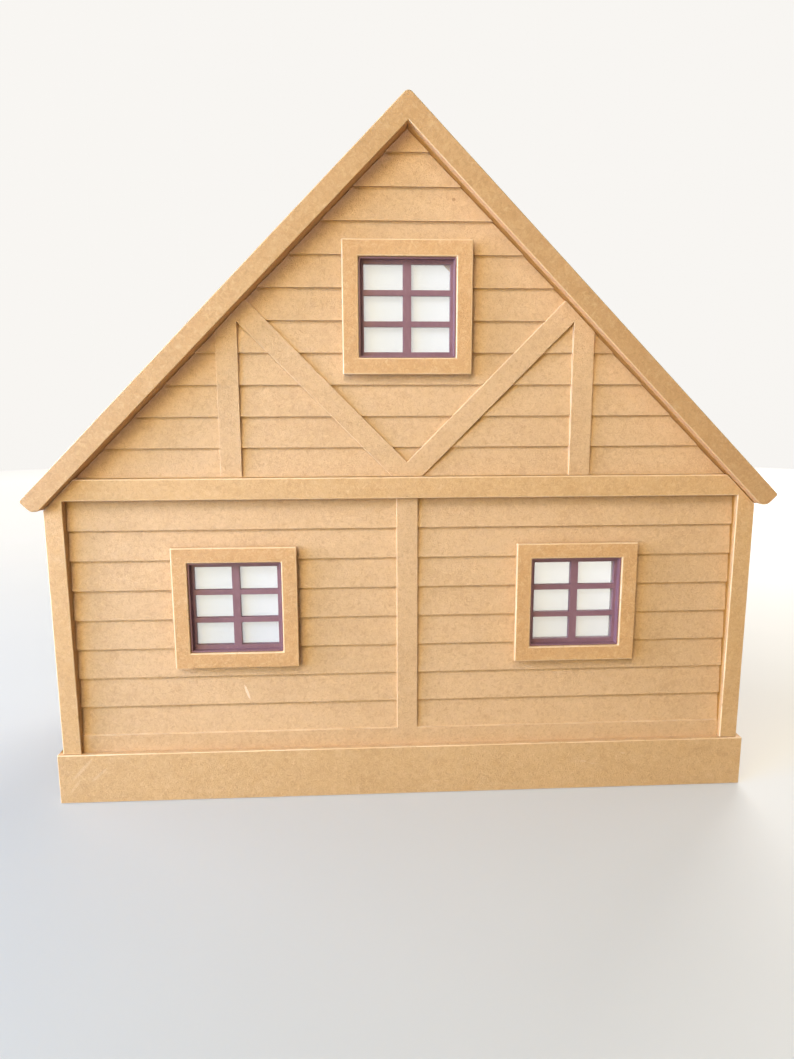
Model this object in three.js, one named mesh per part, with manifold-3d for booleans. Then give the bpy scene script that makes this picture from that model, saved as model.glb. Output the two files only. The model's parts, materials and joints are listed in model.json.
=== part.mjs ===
// Wooden dollhouse: a gabled house of MDF boards with weatherboard routed into its front,
// timber-look trim, three six-pane windows and an open back for play.
// Units are millimetres. X runs across the front, +Y from the front to the open back, +Z up.
// The house is drawn with Y = 0 on the front face of the corner posts, and then moved so
// that the origin lies under the middle of its bounding box.

import * as THREE from 'three';
import { mergeVertices } from 'three/addons/utils/BufferGeometryUtils.js';
import Module from 'manifold-3d';

const wasm = await Module();
wasm.setup();

// ---- Driving dimensions -------------------------------------------------------------
const HOUSE_W = 400;              // across the outer faces of the side walls
const HOUSE_REAR = 172;           // rear edge of walls and floors
const GLUE = 0.1;                 // glue line between flat faces
const CLEAR = 0.3;                // clearance under the sloping roof

const BOARD_T = 12;               // facade boards, floors and divider
const SIDE_T = 10.4;              // side walls, and the corner posts in front of them
const TRIM_T = 3.3;               // applied trim: front frame and architraves

const PLINTH_H = 29.8;
const PLINTH_FRONT = -1.1;        // front face of the plinth, just proud of the posts
const PLINTH_SIDE_T = 3.1;

const RAIL_BOTTOM = 177.7;        // rail across the front, which is also the attic floor
const RAIL_TOP = 189.7;

const ROOF_APEX = 387.4;          // height of the outer apex
const ROOF_SLOPE = 0.994;         // rise over run
const ROOF_T = 11;                // thickness square to the slope
const ROOF_REAR = 178;
const EAVE_TIP_X = 210;           // outermost point of the eaves
const EAVE_Z = 173;               // level cut under the eaves
const BARGE_FRONT = -6.2;         // front face of the bargeboard
const BARGE_BACK = -0.1;

const FACADE = 3.4;               // face of the facade boards where they are not routed
const LAP_LOW = 1.0;              // depth of the routing at a weatherboard's lower edge
const LAP_HIGH = 2.8;             // depth of the routing at its upper edge
const WALL_BOARDS = 8;
const WALL_PITCH = 17.25;
const WALL_FIELD_TOP = RAIL_BOTTOM;
const POST_HALF = 5.9;            // half the width of the middle post
const GABLE_BOARDS = 11;
const GABLE_PITCH = 17.1;
const GABLE_FIRST = 16.4;         // height of the lowest weatherboard in the gable

const STRUT_IN = 91.8;            // upright struts in the gable
const STRUT_OUT = 103.5;
const BRACE_FOOT = 197.6;         // height at which the braces' upper edges meet
const BRACE_SLOPE = 1.008;
const BRACE_W = 11.5;

const OPENING = 52.5;             // square window opening
const ARCHITRAVE = 70.3;          // outer size of the square architrave
const PAD = 67;                   // flat land left in the routing behind an architrave
const LINER_T = 0.9;
const LINER_FRONT = 1.3;
const SASH_FRONT = 5.1;
const SASH_T = 3;
const SASH_STILE = 2.8;
const SASH_RAIL = 3.2;
const MULLION = 4.5;
const TRANSOM = 3;
const PANE_COLUMNS = 2;
const PANE_ROWS = 3;
const PANE_T = 1;

const DOOR_W = 58;                // doorway in the room divider
const DOOR_H = 112;
const DOOR_MIDDLE = 90;
const DIVIDER_SETBACK = 6;

const FLOOR_BOTTOM = 18;          // underside of the ground floor
const HOUSING = 4;                // depth of the grooves that hold the ground floor
const REAR_RAIL_T = 12;

const DOWEL_R = 3;
const DOWEL_HOLE_R = 3.1;
const DOWEL_REACH = 8;            // how far a dowel enters the thicker piece
const DOWEL_TIP = 6;              // how far it enters the thinner piece
const DOWEL_SIDES = 16;
const OVERCUT = 5;                // how far a cutting shape runs past the piece it cuts

const WINDOWS = [
  { name: 'window_left', x: -97.8, z: 115.8 },
  { name: 'window_right', x: 97.8, z: 115.8 },
  { name: 'window_attic', x: 0, z: 280.8 },
];

// ---- Derived dimensions -------------------------------------------------------------
const HALF_W = HOUSE_W / 2;
const INNER_X = HALF_W - SIDE_T;
const FACADE_BACK = FACADE + BOARD_T;
const SLOPE_LENGTH = Math.hypot(1, ROOF_SLOPE);
const UNDER_APEX = ROOF_APEX - ROOF_T * SLOPE_LENGTH;
const DOWEL_Y = FACADE + BOARD_T / 2 + 1;   // a little back, clear of the routed face

const underRoof = (x) => UNDER_APEX - ROOF_SLOPE * Math.abs(x) - CLEAR * SLOPE_LENGTH;
const underRoofX = (z) => (UNDER_APEX - CLEAR * SLOPE_LENGTH - z) / ROOF_SLOPE;

// ---- Materials ----------------------------------------------------------------------
const materials = {
  mdf: { color: 0xc89f6c, roughness: 0.62, metalness: 0 },
  trim: { color: 0xc59a66, roughness: 0.6, metalness: 0 },
  paint: { color: 0x7f5a66, roughness: 0.5, metalness: 0 },
  acrylic: { color: 0xe9eef0, roughness: 0.05, metalness: 0, transparent: true, opacity: 0.3 },
  dowel: { color: 0xd9b884, roughness: 0.7, metalness: 0 },
};

const house = new THREE.Group();

function add(name, geometry, finish) {
  const mesh = new THREE.Mesh(geometry, new THREE.MeshStandardMaterial(materials[finish]));
  mesh.name = name;
  house.add(mesh);
}

// ---- Shape helpers ------------------------------------------------------------------
function outline(points) {
  return new THREE.Shape(points.map(([a, b]) => new THREE.Vector2(a, b)));
}

// A flat outline in X and Z, made solid from front to back.
function slab(points, front, back, openings = []) {
  const shape = outline(points);
  shape.holes = openings.map((ring) => outline(ring));
  const geometry = new THREE.ExtrudeGeometry(shape, { depth: back - front, bevelEnabled: false });
  geometry.rotateX(Math.PI / 2);
  geometry.translate(0, back, 0);
  return geometry;
}

// A flat outline in Y and Z, made solid from one X to another.
function prism(points, left, right) {
  const settings = { depth: right - left, bevelEnabled: false };
  const geometry = new THREE.ExtrudeGeometry(outline(points), settings);
  const turn = new THREE.Matrix4().makeBasis(
    new THREE.Vector3(0, 1, 0),
    new THREE.Vector3(0, 0, 1),
    new THREE.Vector3(1, 0, 0),
  );
  geometry.applyMatrix4(turn);
  geometry.translate(left, 0, 0);
  return geometry;
}

function box(x0, x1, y0, y1, z0, z1) {
  const geometry = new THREE.BoxGeometry(x1 - x0, y1 - y0, z1 - z0);
  geometry.translate((x0 + x1) / 2, (y0 + y1) / 2, (z0 + z1) / 2);
  return geometry;
}

function rectangle(x0, x1, z0, z1) {
  return [[x0, z0], [x1, z0], [x1, z1], [x0, z1]];
}

function square(x, z, size) {
  return rectangle(x - size / 2, x + size / 2, z - size / 2, z + size / 2);
}

function mirrored(points) {
  return points.map(([x, z]) => [-x, z]).reverse();
}

function solid(geometry) {
  const bare = geometry.clone();
  bare.deleteAttribute('normal');
  bare.deleteAttribute('uv');
  const merged = mergeVertices(bare, 1e-4);
  return new wasm.Manifold(new wasm.Mesh({
    numProp: 3,
    vertProperties: new Float32Array(merged.attributes.position.array),
    triVerts: new Uint32Array(merged.index.array),
  }));
}

function surface(manifold) {
  const mesh = manifold.getMesh();
  const geometry = new THREE.BufferGeometry();
  geometry.setAttribute('position', new THREE.BufferAttribute(mesh.vertProperties, 3));
  geometry.setIndex(new THREE.BufferAttribute(mesh.triVerts, 1));
  geometry.computeVertexNormals();
  return geometry;
}

// ---- Dowels -------------------------------------------------------------------------
// Each dowel joins two boards. Its rod and the holes it needs share one centre line.
function rod(start, end, radius) {
  const from = new THREE.Vector3(...start);
  const along = new THREE.Vector3(...end).sub(from);
  const geometry = new THREE.CylinderGeometry(radius, radius, along.length(), DOWEL_SIDES);
  geometry.translate(0, along.length() / 2, 0);
  const turn = new THREE.Quaternion().setFromUnitVectors(
    new THREE.Vector3(0, 1, 0),
    along.normalize(),
  );
  geometry.applyQuaternion(turn);
  geometry.translate(from.x, from.y, from.z);
  return geometry;
}

const WALL_DOWEL_HEIGHTS = [60, 150];
const GABLE_DOWEL_X = [60, 150];

const dowels = [];
for (const [side, sign] of [['left', -1], ['right', 1]]) {
  WALL_DOWEL_HEIGHTS.forEach((z, i) => dowels.push({
    name: `dowel_wall_${side}_${i + 1}`,
    start: [sign * (INNER_X - DOWEL_REACH), DOWEL_Y, z],
    end: [sign * (INNER_X + DOWEL_TIP), DOWEL_Y, z],
  }));
  GABLE_DOWEL_X.forEach((x, i) => dowels.push({
    name: `dowel_gable_${side}_${i + 1}`,
    start: [sign * x, DOWEL_Y, RAIL_TOP - DOWEL_TIP],
    end: [sign * x, DOWEL_Y, RAIL_TOP + DOWEL_REACH],
  }));
}

// The holes are a little longer than the rods, so that the ends stay clear.
function drilled(body, kind) {
  const chosen = dowels.filter((dowel) => dowel.name.startsWith(kind));
  return chosen.reduce((result, { start, end }) => {
    const from = new THREE.Vector3(...start);
    const step = new THREE.Vector3(...end).sub(from).normalize().multiplyScalar(CLEAR);
    const past = new THREE.Vector3(...end).add(step);
    return result.subtract(solid(rod(from.sub(step).toArray(), past.toArray(), DOWEL_HOLE_R)));
  }, body);
}

// ---- Routed weatherboard ------------------------------------------------------------
// What the router takes away: a saw-toothed profile, shallow at each board's lower edge
// and deeper at its upper edge, over the width of one field.
function routing(left, right, edges) {
  const profile = [[FACADE - OVERCUT, edges[0]]];
  for (let i = 0; i + 1 < edges.length; i += 1) {
    profile.push([FACADE + LAP_LOW, edges[i]]);
    profile.push([FACADE + LAP_HIGH, edges[i + 1]]);
  }
  profile.push([FACADE - OVERCUT, edges.at(-1)]);
  return solid(prism(profile, left, right));
}

// The land under an architrave stays flat.
function land(window) {
  return solid(slab(square(window.x, window.z, PAD), FACADE - OVERCUT, FACADE_BACK));
}

function windowHole(window) {
  const front = FACADE - OVERCUT;
  const back = FACADE_BACK + OVERCUT;
  return solid(slab(square(window.x, window.z, OPENING), front, back));
}

// ---- Base ---------------------------------------------------------------------------
function addBase() {
  const plinthX = HALF_W + GLUE + PLINTH_SIDE_T;
  const plinthBack = FACADE - GLUE;
  add('plinth_front', box(-plinthX, plinthX, PLINTH_FRONT, plinthBack, 0, PLINTH_H), 'mdf');
  const stripIn = HALF_W + GLUE;
  add('plinth_left', box(-plinthX, -stripIn, FACADE, HOUSE_REAR, 0, PLINTH_H), 'mdf');
  add('plinth_right', box(stripIn, plinthX, FACADE, HOUSE_REAR, 0, PLINTH_H), 'mdf');

  const floorX = INNER_X + HOUSING - GLUE;
  const floorFront = FACADE_BACK + GLUE;
  const floorTop = FLOOR_BOTTOM + BOARD_T - GLUE;
  const floor = box(-floorX, floorX, floorFront, HOUSE_REAR, FLOOR_BOTTOM, floorTop);
  add('ground_floor', floor, 'mdf');

  const railX = INNER_X - GLUE;
  const railFront = HOUSE_REAR - REAR_RAIL_T;
  const railTop = FLOOR_BOTTOM - GLUE;
  add('rear_rail', box(-railX, railX, railFront, HOUSE_REAR, 0, railTop), 'mdf');
}

// ---- Walls --------------------------------------------------------------------------
// A side wall is grooved for the ground floor. Its top is flat under the attic floor and
// slopes under the roof.
function sideWall() {
  const top = RAIL_BOTTOM - GLUE;
  return [
    [INNER_X, 0],
    [HALF_W, 0],
    [HALF_W, underRoof(HALF_W)],
    [underRoofX(top), top],
    [INNER_X, top],
    [INNER_X, FLOOR_BOTTOM + BOARD_T],
    [INNER_X + HOUSING, FLOOR_BOTTOM + BOARD_T],
    [INNER_X + HOUSING, FLOOR_BOTTOM - GLUE],
    [INNER_X, FLOOR_BOTTOM - GLUE],
  ];
}

function addSideWalls() {
  const right = drilled(solid(slab(sideWall(), FACADE, HOUSE_REAR)), 'dowel_wall_right');
  const left = drilled(solid(slab(mirrored(sideWall()), FACADE, HOUSE_REAR)), 'dowel_wall_left');
  add('side_wall_left', surface(left), 'mdf');
  add('side_wall_right', surface(right), 'mdf');
}

function addFrontWall() {
  const halfX = INNER_X - GLUE;
  const top = RAIL_BOTTOM - GLUE;
  let wall = solid(box(-halfX, halfX, FACADE, FACADE_BACK, 0, top));
  const edges = [];
  for (let i = WALL_BOARDS; i >= 0; i -= 1) edges.push(WALL_FIELD_TOP - i * WALL_PITCH);
  const lower = WINDOWS.filter((window) => window.z < RAIL_BOTTOM);
  for (const [left, right] of [[-HALF_W, -POST_HALF], [POST_HALF, HALF_W]]) {
    let cut = routing(left, right, edges);
    for (const window of lower) cut = cut.subtract(land(window));
    wall = wall.subtract(cut);
  }
  for (const window of lower) wall = wall.subtract(windowHole(window));
  wall = drilled(drilled(wall, 'dowel_wall_left'), 'dowel_wall_right');
  add('front_wall', surface(wall), 'mdf');
}

// The struts and the V of braces that stand level with the gable board's own face.
function gableTimbers() {
  const high = ROOF_APEX;
  const lowerEdge = BRACE_FOOT - BRACE_W * Math.hypot(1, BRACE_SLOPE);
  const strut = rectangle(STRUT_IN, STRUT_OUT, 0, high);
  const brace = [
    [0, lowerEdge],
    [STRUT_OUT, lowerEdge + BRACE_SLOPE * STRUT_OUT],
    [STRUT_OUT, BRACE_FOOT + BRACE_SLOPE * STRUT_OUT],
    [0, BRACE_FOOT],
  ];
  const shapes = [strut, mirrored(strut), brace, mirrored(brace)];
  const front = FACADE - 2 * OVERCUT;
  return shapes.map((points) => solid(slab(points, front, FACADE_BACK)));
}

function addGableWall() {
  const bottom = RAIL_TOP + GLUE;
  const halfX = underRoofX(bottom);
  const triangle = [[-halfX, bottom], [halfX, bottom], [0, underRoof(0)]];
  let wall = solid(slab(triangle, FACADE, FACADE_BACK));
  const edges = [RAIL_TOP];
  for (let i = 0; i < GABLE_BOARDS; i += 1) edges.push(RAIL_TOP + GABLE_FIRST + i * GABLE_PITCH);
  let cut = routing(-HALF_W, HALF_W, edges);
  for (const timber of gableTimbers()) cut = cut.subtract(timber);
  const attic = WINDOWS.find((window) => window.z > RAIL_TOP);
  cut = cut.subtract(land(attic));
  wall = wall.subtract(cut).subtract(windowHole(attic));
  wall = drilled(wall, 'dowel_gable');
  add('gable_wall', surface(wall), 'mdf');
}

function addDivider() {
  const front = FACADE_BACK + GLUE;
  const back = HOUSE_REAR - DIVIDER_SETBACK;
  const bottom = FLOOR_BOTTOM + BOARD_T;
  const top = RAIL_BOTTOM - GLUE;
  const doorFront = DOOR_MIDDLE - DOOR_W / 2;
  const doorBack = DOOR_MIDDLE + DOOR_W / 2;
  const points = [
    [front, bottom],
    [doorFront, bottom],
    [doorFront, bottom + DOOR_H],
    [doorBack, bottom + DOOR_H],
    [doorBack, bottom],
    [back, bottom],
    [back, top],
    [front, top],
  ];
  add('room_divider', prism(points, -BOARD_T / 2, BOARD_T / 2), 'mdf');
}

// ---- Attic floor and front frame ----------------------------------------------------
function addAtticFloor() {
  const top = RAIL_TOP;
  const low = underRoofX(RAIL_BOTTOM);
  const high = underRoofX(top);
  const points = [[-low, RAIL_BOTTOM], [low, RAIL_BOTTOM], [high, top], [-high, top]];
  const floor = solid(slab(points, FACADE, HOUSE_REAR));
  add('attic_floor', surface(drilled(floor, 'dowel_gable')), 'mdf');
}

// Corner posts and rail, cut in one piece and glued over the edges of the boards behind.
function addFrontFrame() {
  const foot = PLINTH_H + GLUE;
  const half = [
    [INNER_X, RAIL_BOTTOM],
    [INNER_X, foot],
    [HALF_W, foot],
    [HALF_W, underRoof(HALF_W)],
    [underRoofX(RAIL_TOP), RAIL_TOP],
  ];
  add('front_frame', slab([...half, ...mirrored(half)], 0, TRIM_T), 'trim');
}

// ---- Roof ---------------------------------------------------------------------------
// One slope seen from the front: square cut at the tip of the eaves, level cut below it.
function roofSlope() {
  const tipZ = ROOF_APEX - ROOF_SLOPE * EAVE_TIP_X;
  const drop = tipZ - EAVE_Z;
  return [
    [0, UNDER_APEX],
    [(UNDER_APEX - EAVE_Z) / ROOF_SLOPE, EAVE_Z],
    [EAVE_TIP_X - drop * ROOF_SLOPE, EAVE_Z],
    [EAVE_TIP_X, tipZ],
    [0, ROOF_APEX],
  ];
}

function addRoof() {
  const slope = roofSlope();
  const panel = slope.map(([x, z]) => [Math.max(x, GLUE / 2), z]);
  add('roof_panel_left', slab(mirrored(panel), 0, ROOF_REAR), 'mdf');
  add('roof_panel_right', slab(panel, 0, ROOF_REAR), 'mdf');

  const left = mirrored(slope).slice(1, -1);
  const board = [...slope, ...left];
  add('bargeboard', slab(board, BARGE_FRONT, BARGE_BACK), 'trim');
}

// ---- Windows ------------------------------------------------------------------------
// A painted liner that fills the opening, with the stiles, rails and glazing bars in it.
function sash(x, z) {
  const outer = OPENING - 2 * GLUE;
  const inner = outer - 2 * LINER_T;
  const liner = slab(square(x, z, outer), LINER_FRONT, FACADE_BACK, [square(x, z, inner)]);
  const glassW = (OPENING - 2 * SASH_STILE - (PANE_COLUMNS - 1) * MULLION) / PANE_COLUMNS;
  const glassH = (OPENING - 2 * SASH_RAIL - (PANE_ROWS - 1) * TRANSOM) / PANE_ROWS;
  let bars = solid(slab(square(x, z, outer), SASH_FRONT, SASH_FRONT + SASH_T));
  for (let column = 0; column < PANE_COLUMNS; column += 1) {
    for (let row = 0; row < PANE_ROWS; row += 1) {
      const left = x - OPENING / 2 + SASH_STILE + column * (glassW + MULLION);
      const low = z - OPENING / 2 + SASH_RAIL + row * (glassH + TRANSOM);
      const light = rectangle(left, left + glassW, low, low + glassH);
      bars = bars.subtract(solid(slab(light, SASH_FRONT - OVERCUT, SASH_FRONT + OVERCUT)));
    }
  }
  return surface(solid(liner).add(bars));
}

function addWindow({ name, x, z }) {
  const ring = [square(x, z, OPENING)];
  add(`${name}_architrave`, slab(square(x, z, ARCHITRAVE), 0, TRIM_T, ring), 'trim');
  add(`${name}_sash`, sash(x, z), 'paint');
  const paneSize = OPENING - 4 * GLUE - 2 * LINER_T;
  const paneFront = SASH_FRONT + SASH_T + GLUE;
  const pane = slab(square(x, z, paneSize), paneFront, paneFront + PANE_T);
  add(`${name}_pane`, pane, 'acrylic');
}

// ---- Assembly -----------------------------------------------------------------------
addBase();
addSideWalls();
addFrontWall();
addDivider();
addAtticFloor();
addGableWall();
addFrontFrame();
addRoof();
WINDOWS.forEach(addWindow);
for (const { name, start, end } of dowels) add(name, rod(start, end, DOWEL_R), 'dowel');

house.position.y = -(BARGE_FRONT + ROOF_REAR) / 2;
house.updateMatrixWorld(true);

export default house;
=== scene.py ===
"""Looks for the wooden dollhouse: stage, camera and light, then one finish per material."""
import json
import math

import bmesh
import bpy
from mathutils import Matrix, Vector

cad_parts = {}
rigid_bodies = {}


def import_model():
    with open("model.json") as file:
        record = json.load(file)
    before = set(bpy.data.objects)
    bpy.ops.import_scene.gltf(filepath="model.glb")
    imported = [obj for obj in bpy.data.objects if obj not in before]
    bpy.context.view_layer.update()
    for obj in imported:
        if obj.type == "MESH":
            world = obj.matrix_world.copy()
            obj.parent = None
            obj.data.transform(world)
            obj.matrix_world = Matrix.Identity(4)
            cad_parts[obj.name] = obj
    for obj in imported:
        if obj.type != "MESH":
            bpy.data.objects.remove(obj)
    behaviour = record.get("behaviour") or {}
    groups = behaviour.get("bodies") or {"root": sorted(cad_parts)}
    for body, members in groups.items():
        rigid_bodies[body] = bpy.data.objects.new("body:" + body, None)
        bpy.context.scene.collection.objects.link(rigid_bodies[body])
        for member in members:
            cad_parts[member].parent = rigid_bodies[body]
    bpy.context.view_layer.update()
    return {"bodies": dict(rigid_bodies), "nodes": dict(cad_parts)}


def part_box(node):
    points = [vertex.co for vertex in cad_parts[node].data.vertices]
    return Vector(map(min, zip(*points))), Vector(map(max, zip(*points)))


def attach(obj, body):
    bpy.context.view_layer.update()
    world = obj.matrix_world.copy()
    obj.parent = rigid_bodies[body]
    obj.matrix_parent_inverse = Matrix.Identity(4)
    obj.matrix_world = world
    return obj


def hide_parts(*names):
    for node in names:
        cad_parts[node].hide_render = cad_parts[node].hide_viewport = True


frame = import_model()
nodes = frame["nodes"]
MM = 0.001
BODY = sorted(frame["bodies"])[0]

FLAT = math.radians(0.5)          # faces that meet at less than this are one flat face
ARRIS = math.radians(35.0)        # edges sharper than this are arrises, and get eased
CREASE = math.radians(32.0)       # edges sharper than this keep their crease in shading
STAGE_RADIUS = 2.4
DOME_RADIUS = 2.6
STUDIO_PALE = (0.93, 0.91, 0.88, 1.0)
LIGHT_AIM = (0.0, 0.02, 0.17)     # every light points here, inside the house

WINDOWS = ("window_left", "window_right", "window_attic")
FACADE_NODES = ("front_wall", "gable_wall", "front_frame", "plinth_front") + tuple(
    f"{window}_{part}" for window in WINDOWS for part in ("architrave", "sash", "pane")
)
DOWELS = tuple(name for name in sorted(nodes) if name.startswith("dowel_"))


# ---- Camera, stage and light ---------------------------------------------------------
def make_camera():
    """The viewpoint of someone facing the front, slightly to the left of its middle."""
    data = bpy.data.cameras.new("camera")
    data.sensor_width = 36.0
    data.lens = 25.35
    camera = bpy.data.objects.new("camera", data)
    camera.location = (-0.0283, -0.4990, 0.2321)
    camera.rotation_euler = (math.radians(80.13), math.radians(0.14), math.radians(-3.11))
    bpy.context.scene.collection.objects.link(camera)
    bpy.context.scene.camera = camera


def link(name, mesh):
    obj = bpy.data.objects.new(name, mesh)
    bpy.context.scene.collection.objects.link(obj)
    return obj


def disc(name, height, material):
    """A flat round sheet of the stage."""
    mesh = bpy.data.meshes.new(name)
    work = bmesh.new()
    bmesh.ops.create_circle(work, cap_ends=True, segments=96, radius=STAGE_RADIUS)
    work.to_mesh(mesh)
    work.free()
    mesh.materials.append(material)
    obj = link(name, mesh)
    obj.location.z = height
    return obj


def make_stage():
    """A pale floor that is seen, a warmer sheet under it that lights the object, and a dome."""
    floor = disc("studio_floor", -0.2 * MM, floor_material())
    floor.visible_diffuse = False
    floor.visible_shadow = False
    bounce = disc("studio_bounce", -0.4 * MM, bounce_material())
    bounce.visible_camera = False
    bounce.visible_glossy = False
    bounce.visible_transmission = False

    mesh = bpy.data.meshes.new("studio_backdrop")
    work = bmesh.new()
    bmesh.ops.create_uvsphere(work, u_segments=48, v_segments=24, radius=DOME_RADIUS)
    work.to_mesh(mesh)
    work.free()
    mesh.materials.append(backdrop_material())
    dome = link("studio_backdrop", mesh)
    dome.visible_diffuse = False
    dome.visible_glossy = False
    dome.visible_shadow = False


def area_light(name, location, size, power, colour):
    """A soft rectangular light that points into the house and isn't seen itself."""
    data = bpy.data.lights.new(name, "AREA")
    data.shape = "RECTANGLE"
    data.size, data.size_y = size
    data.energy = power
    data.color = colour
    light = bpy.data.objects.new(name, data)
    light.location = location
    aim = Vector(LIGHT_AIM) - Vector(location)
    light.rotation_euler = aim.to_track_quat("-Z", "Y").to_euler()
    light.visible_camera = False
    bpy.context.scene.collection.objects.link(light)
    return light


def collection(name, objects):
    group = bpy.data.collections.new(name)
    for obj in objects:
        group.objects.link(obj)
    return group


def make_lights():
    area_light("key", (-0.70, -1.26, 0.50), (1.0, 0.9), 16.3, (1.0, 0.86, 0.36))
    window = area_light("window", (-0.87, -0.56, 0.40), (0.7, 0.7), 12.0, (0.0, 0.34, 1.0))
    area_light("top", (-0.35, -0.93, 1.35), (0.9, 0.7), 5.5, (0.90, 0.86, 0.62))
    rake = area_light("rake", (-1.10, -0.20, 0.38), (0.5, 0.5), 23.0, (0.80, 0.78, 0.95))
    area_light("back", (0.8, 1.6, 1.3), (1.4, 1.4), 42.0, (1.0, 0.98, 0.95))
    area_light("side_right", (1.5, 0.35, 0.55), (0.9, 0.9), 8.0, (1.0, 0.96, 0.90))
    area_light("side_left", (-1.5, 0.35, 0.55), (0.9, 0.9), 8.0, (1.0, 0.97, 1.0))
    drop = area_light("drop", (-0.25, -0.91, 1.02), (0.4, 0.3), 5.6, (0.94, 0.90, 0.98))

    # Three lights pick out the relief of the front and leave the sides alone, though the
    # window light falls on the stage too. The drop light passes the bargeboard by as well, so
    # that only the front's own relief casts its shadows.
    front = [nodes[name] for name in FACADE_NODES]
    facade = collection("facade", [*front, bpy.data.objects["bargeboard_rounded"]])
    relief = collection("relief", front)
    stage = [bpy.data.objects[name] for name in ("studio_floor", "studio_bounce")]
    facade_and_stage = collection("facade_and_stage", stage)
    facade_and_stage.children.link(facade)
    window.light_linking.receiver_collection = facade_and_stage
    rake.light_linking.receiver_collection = facade
    drop.light_linking.receiver_collection = relief
    drop.light_linking.blocker_collection = relief


def make_world():
    world = bpy.data.worlds.new("studio")
    world.use_nodes = True
    background = world.node_tree.nodes["Background"]
    background.inputs["Color"].default_value = (1.0, 0.80, 0.62, 1.0)
    background.inputs["Strength"].default_value = 0.10
    bpy.context.scene.world = world
    bpy.context.scene.view_settings.view_transform = "Standard"


# ---- Node helpers --------------------------------------------------------------------
class Graph:
    """A node material in the making. Most methods add a node and return its output."""

    def __init__(self, name):
        self.material = bpy.data.materials.new(name)
        self.material.use_nodes = True
        self.tree = self.material.node_tree
        self.shader = self.tree.nodes["Principled BSDF"]
        self.place = self.new("ShaderNodeTexCoord").outputs["Object"]

    def new(self, kind, **settings):
        node = self.tree.nodes.new(kind)
        for key, value in settings.items():
            setattr(node, key, value)
        return node

    def put(self, value, socket):
        """Links the socket to another node's output, or sets it to a number or colour."""
        if isinstance(value, bpy.types.NodeSocket):
            self.tree.links.new(value, socket)
        else:
            socket.default_value = value

    def feed(self, node, **values):
        for key, value in values.items():
            self.put(value, node.inputs[key.replace("_", " ")])

    def stretch(self, scale, turn=(0.0, 0.0, 0.0)):
        node = self.new("ShaderNodeMapping")
        self.feed(node, Vector=self.place, Scale=scale, Rotation=turn)
        return node.outputs["Vector"]

    def noise(self, scale, detail=3.0, roughness=0.55, distortion=0.0, vector=None):
        node = self.new("ShaderNodeTexNoise")
        self.feed(node, Vector=vector or self.place, Scale=scale, Detail=detail)
        self.feed(node, Roughness=roughness, Distortion=distortion)
        return node.outputs["Fac"]

    def span(self, value, low, high, out_low=0.0, out_high=1.0):
        node = self.new("ShaderNodeMapRange")
        self.feed(node, Value=value, From_Min=low, From_Max=high)
        self.feed(node, To_Min=out_low, To_Max=out_high)
        return node.outputs["Result"]

    def maths(self, operation, first, second=0.0):
        node = self.new("ShaderNodeMath", operation=operation)
        for socket, value in zip(node.inputs, (first, second)):
            self.put(value, socket)
        return node.outputs["Value"]

    def mix(self, amount, first, second):
        """Mixes two colours. The Mix node's colour sockets are numbers 6 and 7."""
        node = self.new("ShaderNodeMix", data_type="RGBA")
        for index, value in ((0, amount), (6, first), (7, second)):
            self.put((*value, 1.0) if isinstance(value, tuple) else value, node.inputs[index])
        return node.outputs[2]

    def length(self, vector):
        node = self.new("ShaderNodeVectorMath", operation="LENGTH")
        self.put(vector, node.inputs[0])
        return node.outputs["Value"]

    def bump(self, height, strength, distance):
        """Gives the shader a relief, distance metres deep at full strength."""
        node = self.new("ShaderNodeBump")
        self.feed(node, Height=height, Strength=strength, Distance=distance)
        self.feed(self.shader, Normal=node.outputs["Normal"])


# ---- Stage materials -----------------------------------------------------------------
def floor_material():
    """A pale floor that glows more towards the horizon, so that it meets the backdrop."""
    graph = Graph("pale_floor")
    cloud = graph.noise(6.0, detail=2.0)
    colour = graph.mix(cloud, (0.50, 0.49, 0.47), (0.53, 0.52, 0.50))
    glow = graph.span(graph.length(graph.place), 0.3, 2.0, 0.30, 0.90)
    graph.feed(graph.shader, Base_Color=colour, Roughness=0.75, Emission_Strength=glow)
    graph.feed(graph.shader, Emission_Color=STUDIO_PALE)
    return graph.material


def bounce_material():
    graph = Graph("warm_bounce")
    cloud = graph.noise(6.0, detail=2.0)
    colour = graph.mix(cloud, (0.38, 0.29, 0.20), (0.42, 0.32, 0.22))
    graph.feed(graph.shader, Base_Color=colour, Roughness=0.9)
    return graph.material


def backdrop_material():
    graph = Graph("pale_backdrop")
    graph.feed(graph.shader, Base_Color=(0.0, 0.0, 0.0, 1.0), Roughness=1.0)
    graph.feed(graph.shader, Emission_Color=STUDIO_PALE, Emission_Strength=1.0)
    return graph.material


# ---- MDF -----------------------------------------------------------------------------
FIBRE_DARK = (0.430, 0.240, 0.092)
FIBRE_LIGHT = (0.700, 0.455, 0.235)
PALE = (0.80, 0.60, 0.40)
STAIN = (0.33, 0.17, 0.06)
# Edge colour: worn MDF, made paler still as a painted highlight along every arris.
EDGE_WEAR_AND_HIGHLIGHT = (0.82, 0.61, 0.39)


def spot(graph, centre, size, turn):
    """1 inside a small ragged ellipsoid and 0 outside it."""
    place = graph.new("ShaderNodeMapping", vector_type="TEXTURE")
    graph.feed(place, Vector=graph.place, Location=centre, Rotation=(0.0, turn, 0.0), Scale=size)
    reach = graph.length(place.outputs["Vector"])
    ragged = graph.maths("ADD", reach, graph.noise(900.0, detail=3.0))
    return graph.span(ragged, 1.55, 1.25)


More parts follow.
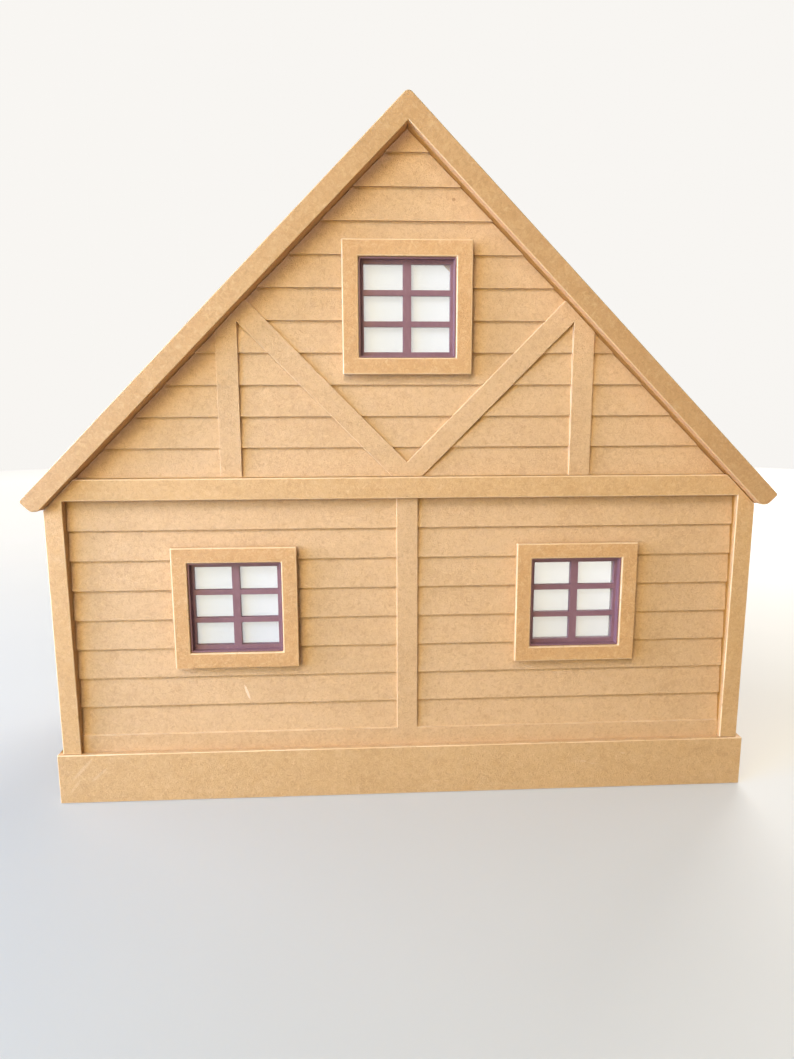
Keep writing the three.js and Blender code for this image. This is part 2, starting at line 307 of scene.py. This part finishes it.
def mdf_material(name, body, warm, wear=0.0, marks=(), relief=0.8):
    """Pressed wood fibre under a thin sealer. body is the general colour, warm a blotch's.

    wear is the strength of the scuffs, and relief that of the fibres' bump. marks holds the
    centre, size, turn, colour and strength of each scratch or speck.
    """
    graph = Graph(name)
    cloud = graph.noise(14.0, detail=4.0, roughness=0.6)
    blotch = graph.noise(85.0, detail=4.0, roughness=0.62, distortion=0.6)
    mottle = graph.noise(420.0, detail=4.0, roughness=0.7, distortion=1.2)
    dust = graph.noise(1700.0, detail=2.0, roughness=0.7)
    along = graph.noise(1.0, detail=3.0, distortion=1.6, vector=graph.stretch((420, 420, 1500)))
    across = graph.noise(1.0, detail=3.0, distortion=1.6, vector=graph.stretch((1500, 1500, 420)))
    fibre = graph.maths("MAXIMUM", along, across)

    colour = graph.mix(graph.span(cloud, 0.35, 0.7), body, warm)
    colour = graph.mix(graph.span(blotch, 0.42, 0.75, 0.0, 0.22), colour, FIBRE_LIGHT)
    colour = graph.mix(graph.span(blotch, 0.5, 0.25, 0.0, 0.18), colour, FIBRE_DARK)
    colour = graph.mix(graph.span(mottle, 0.5, 0.70, 0.0, 0.75), colour, FIBRE_LIGHT)
    colour = graph.mix(graph.span(mottle, 0.48, 0.28, 0.0, 0.60), colour, FIBRE_DARK)
    colour = graph.mix(graph.span(fibre, 0.62, 0.78, 0.0, 0.30), colour, FIBRE_LIGHT)
    colour = graph.mix(graph.span(dust, 0.42, 0.25, 0.0, 0.30), colour, FIBRE_DARK)
    if wear:
        scuffs = graph.stretch((60, 60, 240), (0.0, 0.7, 0.0))
        scuff = graph.span(graph.noise(1.0, detail=5.0, roughness=0.7, vector=scuffs), 0.62, 0.72)
        patch = graph.span(graph.noise(22.0, detail=2.0), 0.5, 0.62, 0.0, wear)
        colour = graph.mix(graph.maths("MULTIPLY", scuff, patch), colour, PALE)

    for centre, size, turn, tint, strength in marks:
        mask = graph.maths("MULTIPLY", spot(graph, centre, size, turn), strength)
        colour = graph.mix(mask, colour, tint)

    rough = graph.span(mottle, 0.3, 0.75, 0.44, 0.62)
    rough = graph.maths("ADD", rough, graph.span(cloud, 0.3, 0.7, -0.04, 0.06))
    graph.feed(graph.shader, Base_Color=colour, Roughness=rough)
    graph.feed(graph.shader, Specular_IOR_Level=0.42, Coat_Weight=0.06, Coat_Roughness=0.35)
    height = graph.maths("ADD", graph.maths("MULTIPLY", mottle, 0.6), fibre)
    graph.bump(graph.maths("ADD", height, graph.maths("MULTIPLY", dust, 0.4)), relief, 0.0006)
    return graph.material


def arris_material(name, body, edge_wear_and_highlight):
    """The worn, sealed edge of an MDF board: smoother, with small dark nicks, and paler,
    partly from wear and partly as a painted highlight along every arris.

    body is the general colour, itself paler than the board's as painted highlight, and the
    last argument is how far the palest stretches leave it, toward wear and painted highlight.
    """
    graph = Graph(name)
    nick = graph.noise(260.0, detail=4.0, roughness=0.7)
    shade = graph.noise(40.0, detail=3.0)
    # Paler stretches along the edge: part wear, part painted highlight.
    colour = graph.mix(graph.span(shade, 0.35, 0.7, 0.0, edge_wear_and_highlight), body, EDGE_WEAR_AND_HIGHLIGHT)
    colour = graph.mix(graph.span(nick, 0.42, 0.30, 0.0, 0.55), colour, FIBRE_DARK)
    graph.feed(graph.shader, Base_Color=colour)
    graph.feed(graph.shader, Roughness=graph.span(nick, 0.3, 0.7, 0.36, 0.54))
    graph.feed(graph.shader, Specular_IOR_Level=0.48, Coat_Weight=0.1, Coat_Roughness=0.3)
    graph.bump(nick, 0.25, 0.0001)
    return graph.material


# ---- Paint, acrylic and dowels -------------------------------------------------------
def paint_material():
    """Plum paint with paler brush marks and a few pale specks."""
    graph = Graph("plum_paint")
    cloud = graph.noise(60.0, detail=3.0)
    brush = graph.noise(1.0, detail=4.0, roughness=0.6, vector=graph.stretch((900, 900, 260)))
    speck = graph.noise(900.0, detail=2.0)
    colour = graph.mix(graph.span(cloud, 0.35, 0.7), (0.195, 0.090, 0.112), (0.228, 0.112, 0.134))
    colour = graph.mix(graph.span(brush, 0.5, 0.75, 0.0, 0.35), colour, (0.300, 0.172, 0.196))
    colour = graph.mix(graph.span(speck, 0.68, 0.78, 0.0, 0.4), colour, (0.40, 0.27, 0.27))
    graph.feed(graph.shader, Base_Color=colour)
    graph.feed(graph.shader, Roughness=graph.span(brush, 0.3, 0.7, 0.34, 0.52))
    graph.bump(graph.maths("ADD", brush, graph.maths("MULTIPLY", speck, 0.4)), 0.3, 0.00008)
    return graph.material


def acrylic_material():
    """Clear sheet, a little milky grey as painted shade that dims the view through the
    windows, with smears that show only in its gloss.
    """
    graph = Graph("clear_acrylic")
    smear = graph.noise(70.0, detail=4.0, roughness=0.6, distortion=0.8)
    # The grey base colour at part alpha is painted shade over the view through the panes.
    graph.feed(graph.shader, Base_Color=(0.80, 0.82, 0.83, 1.0), IOR=1.49, Alpha=0.24)
    graph.feed(graph.shader, Roughness=graph.span(smear, 0.4, 0.75, 0.03, 0.16))
    return graph.material


def dowel_material():
    """Beech with its grain running from side to side, and fine dark flecks."""
    graph = Graph("beech_dowel")
    grain = graph.noise(1.0, detail=4.0, vector=graph.stretch((260, 900, 900)))
    ray = graph.noise(1400.0, detail=2.0)
    colour = graph.mix(graph.span(grain, 0.35, 0.7), (0.70, 0.49, 0.27), (0.58, 0.37, 0.18))
    colour = graph.mix(graph.span(ray, 0.6, 0.75, 0.0, 0.5), colour, (0.42, 0.24, 0.11))
    graph.feed(graph.shader, Base_Color=colour)
    graph.feed(graph.shader, Roughness=graph.span(grain, 0.3, 0.7, 0.5, 0.7))
    graph.bump(grain, 0.3, 0.0001)
    return graph.material


# ---- Finishing the CAD nodes ---------------------------------------------------------
def dress(name, *materials):
    """Puts materials in a CAD node's own slots, after adding the empty slots it lacks."""
    obj = nodes[name]
    while len(obj.material_slots) < len(materials):
        obj.data.materials.append(None)
    for slot, material in zip(obj.material_slots, materials):
        slot.link = "OBJECT"
        slot.material = material


def ease(name, width):
    """Rounds a CAD node's arrises with modifiers, and gives them its second material.

    The triangles come in with corners of their own, so the first modifier joins them up.
    """
    obj = nodes[name]
    weld = obj.modifiers.new("weld", "WELD")
    weld.merge_threshold = 0.01 * MM
    clean = obj.modifiers.new("merge_flats", "DECIMATE")
    clean.decimate_type = "DISSOLVE"
    clean.angle_limit = FLAT
    bevel = obj.modifiers.new("eased_edges", "BEVEL")
    bevel.width = width
    bevel.segments = 2
    bevel.limit_method = "ANGLE"
    bevel.angle_limit = ARRIS
    bevel.use_clamp_overlap = True
    bevel.harden_normals = True
    if len(obj.material_slots) > 1:
        bevel.material = 1


def rounded_copy(name, materials, width, rounds):
    """Stands for a CAD node: the same shape, with some corners rounded and every arris eased.

    rounds holds pairs of a test for the edges that run from front to back, and their radius.
    """
    mesh = nodes[name].data.copy()
    mesh.materials.clear()
    for material in materials:
        mesh.materials.append(material)
    work = bmesh.new()
    work.from_mesh(mesh)
    bmesh.ops.remove_doubles(work, verts=work.verts, dist=0.001 * MM)
    bmesh.ops.dissolve_limit(work, angle_limit=FLAT, verts=work.verts, edges=work.edges)
    for test, radius in rounds:
        corners = [edge for edge in work.edges if runs_back(edge) and test(edge.verts[0].co)]
        bmesh.ops.bevel(
            work, geom=corners, offset=radius, offset_type="OFFSET", segments=6,
            profile=0.5, affect="EDGES", clamp_overlap=True,
        )
    sharp = [edge for edge in work.edges if edge.calc_face_angle(0.0) > ARRIS]
    bmesh.ops.bevel(
        work, geom=sharp, offset=width, offset_type="OFFSET", segments=3,
        profile=0.5, affect="EDGES", clamp_overlap=True, material=1,
    )
    work.to_mesh(mesh)
    work.free()
    mesh.shade_smooth()
    mesh.set_sharp_from_angle(angle=CREASE)
    piece = link(f"{name}_rounded", mesh)
    weighted = piece.modifiers.new("weighted_normals", "WEIGHTED_NORMAL")
    weighted.keep_sharp = True
    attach(piece, BODY)
    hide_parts(name)
    return piece


def runs_back(edge):
    """True for an edge over 3 mm long that runs straight from front to back."""
    step = edge.verts[0].co - edge.verts[1].co
    return abs(step.y) > 3 * MM and abs(step.x) + abs(step.z) < 0.01 * MM


def make_bargeboard(wood, arris):
    """The bargeboard, with its apex and the corners of its eaves rounded."""
    low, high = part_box("bargeboard")

    def apex(point):
        return point.z > high.z - 1 * MM

    def eave(point):
        return min(point.x - low.x, high.x - point.x) < 14 * MM

    rounds = [(apex, 3.0 * MM), (eave, 1.4 * MM)]
    piece = rounded_copy("bargeboard", (wood, arris), 0.6 * MM, rounds)


def make_roof_panels(wood, arris):
    """The two roof boards, with a rounded ridge."""
    for name in ("roof_panel_left", "roof_panel_right"):
        _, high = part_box(name)

        def apex(point, top=high.z):
            return point.z > top - 1 * MM

        piece = rounded_copy(name, (wood, arris), 0.7 * MM, [(apex, 1.7 * MM)])


def wall_marks():
    """A light scratch under the left window, and a dark speck above the attic window."""
    low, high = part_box("window_left_architrave")
    middle = (low.x + high.x) / 2
    scratch = (middle + 4 * MM, low.y + 4 * MM, low.z - 17 * MM)
    low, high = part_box("window_attic_architrave")
    middle = (low.x + high.x) / 2
    speck = (middle + 25 * MM, low.y + 4 * MM, high.z + 21 * MM)
    smudge = (middle + 8 * MM, low.y + 4 * MM, high.z + 27 * MM)
    return (
        (scratch, (0.8 * MM, 8 * MM, 5 * MM), -0.35, PALE, 0.9),
        (speck, (1.1 * MM, 8 * MM, 0.9 * MM), 0.0, STAIN, 0.8),
        (smudge, (9 * MM, 8 * MM, 6 * MM), 0.4, STAIN, 0.10),
    )


def plinth_marks():
    """Pale scuffs at the plinth's left end, and darker knocks at its right end."""
    low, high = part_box("plinth_front")
    front = low.y
    left, right = low.x, high.x
    return (
        ((left + 14 * MM, front, 21 * MM), (1.0 * MM, 4 * MM, 9 * MM), 0.75, PALE, 0.22),
        ((left + 23 * MM, front, 17 * MM), (0.9 * MM, 4 * MM, 7 * MM), 0.85, PALE, 0.20),
        ((left + 9 * MM, front, 10 * MM), (0.8 * MM, 4 * MM, 6 * MM), 0.65, PALE, 0.18),
        ((right - 12 * MM, front, 20 * MM), (5 * MM, 4 * MM, 2.2 * MM), 0.3, STAIN, 0.22),
        ((right - 26 * MM, front, 22 * MM), (8 * MM, 4 * MM, 2.8 * MM), -0.2, STAIN, 0.14),
        ((right - 6 * MM, front, 8 * MM), (2.4 * MM, 4 * MM, 2.0 * MM), 0.0, STAIN, 0.20),
    )


def finish_nodes():
    """Gives every node its finish. The last column of groups is the easing, in millimetres."""
    board = mdf_material("mdf_board", (0.600, 0.352, 0.148), (0.640, 0.385, 0.170))
    facade_wood = mdf_material(
        "mdf_facade", (0.588, 0.358, 0.178), (0.628, 0.392, 0.204), marks=wall_marks()
    )
    frame_wood = mdf_material("mdf_frame", (0.585, 0.338, 0.140), (0.620, 0.366, 0.158))
    barge = mdf_material(
        "mdf_bargeboard", (0.580, 0.318, 0.142), (0.610, 0.335, 0.148), relief=0.2
    )
    trim = mdf_material("mdf_architrave", (0.580, 0.306, 0.116), (0.605, 0.330, 0.130))
    plinth = mdf_material(
        "mdf_plinth", (0.585, 0.350, 0.155), (0.625, 0.380, 0.175),
        wear=0.7, marks=plinth_marks(),
    )
    # The edge materials are paler than the boards they trim, partly as wear and partly as a
    # painted highlight; the bargeboard's edges carry less of it.
    barge_arris = arris_material("mdf_bargeboard_arris", (0.610, 0.370, 0.170), 0.25)
    arris = arris_material("mdf_arris", (0.665, 0.430, 0.220), 0.6)
    paint = paint_material()
    acrylic = acrylic_material()
    dowel = dowel_material()

    groups = (
        (("attic_floor", "ground_floor"), board, 0.4),
        (("room_divider", "side_wall_left", "side_wall_right", "rear_rail"), board, 0.5),
        (("front_wall", "gable_wall"), facade_wood, 0.35),
        (("plinth_front", "plinth_left", "plinth_right"), plinth, 0.5),
        (("front_frame",), frame_wood, 0.6),
        (tuple(f"{window}_architrave" for window in WINDOWS), trim, 0.75),
    )
    for names, material, width in groups:
        for name in names:
            dress(name, material, arris)
            ease(name, width * MM)
    for window in WINDOWS:
        dress(f"{window}_sash", paint)
        ease(f"{window}_sash", 0.2 * MM)
        dress(f"{window}_pane", acrylic)
    for name in DOWELS:
        dress(name, dowel)
    make_bargeboard(barge, barge_arris)
    make_roof_panels(board, barge_arris)


make_camera()
make_stage()
finish_nodes()
make_lights()
make_world()
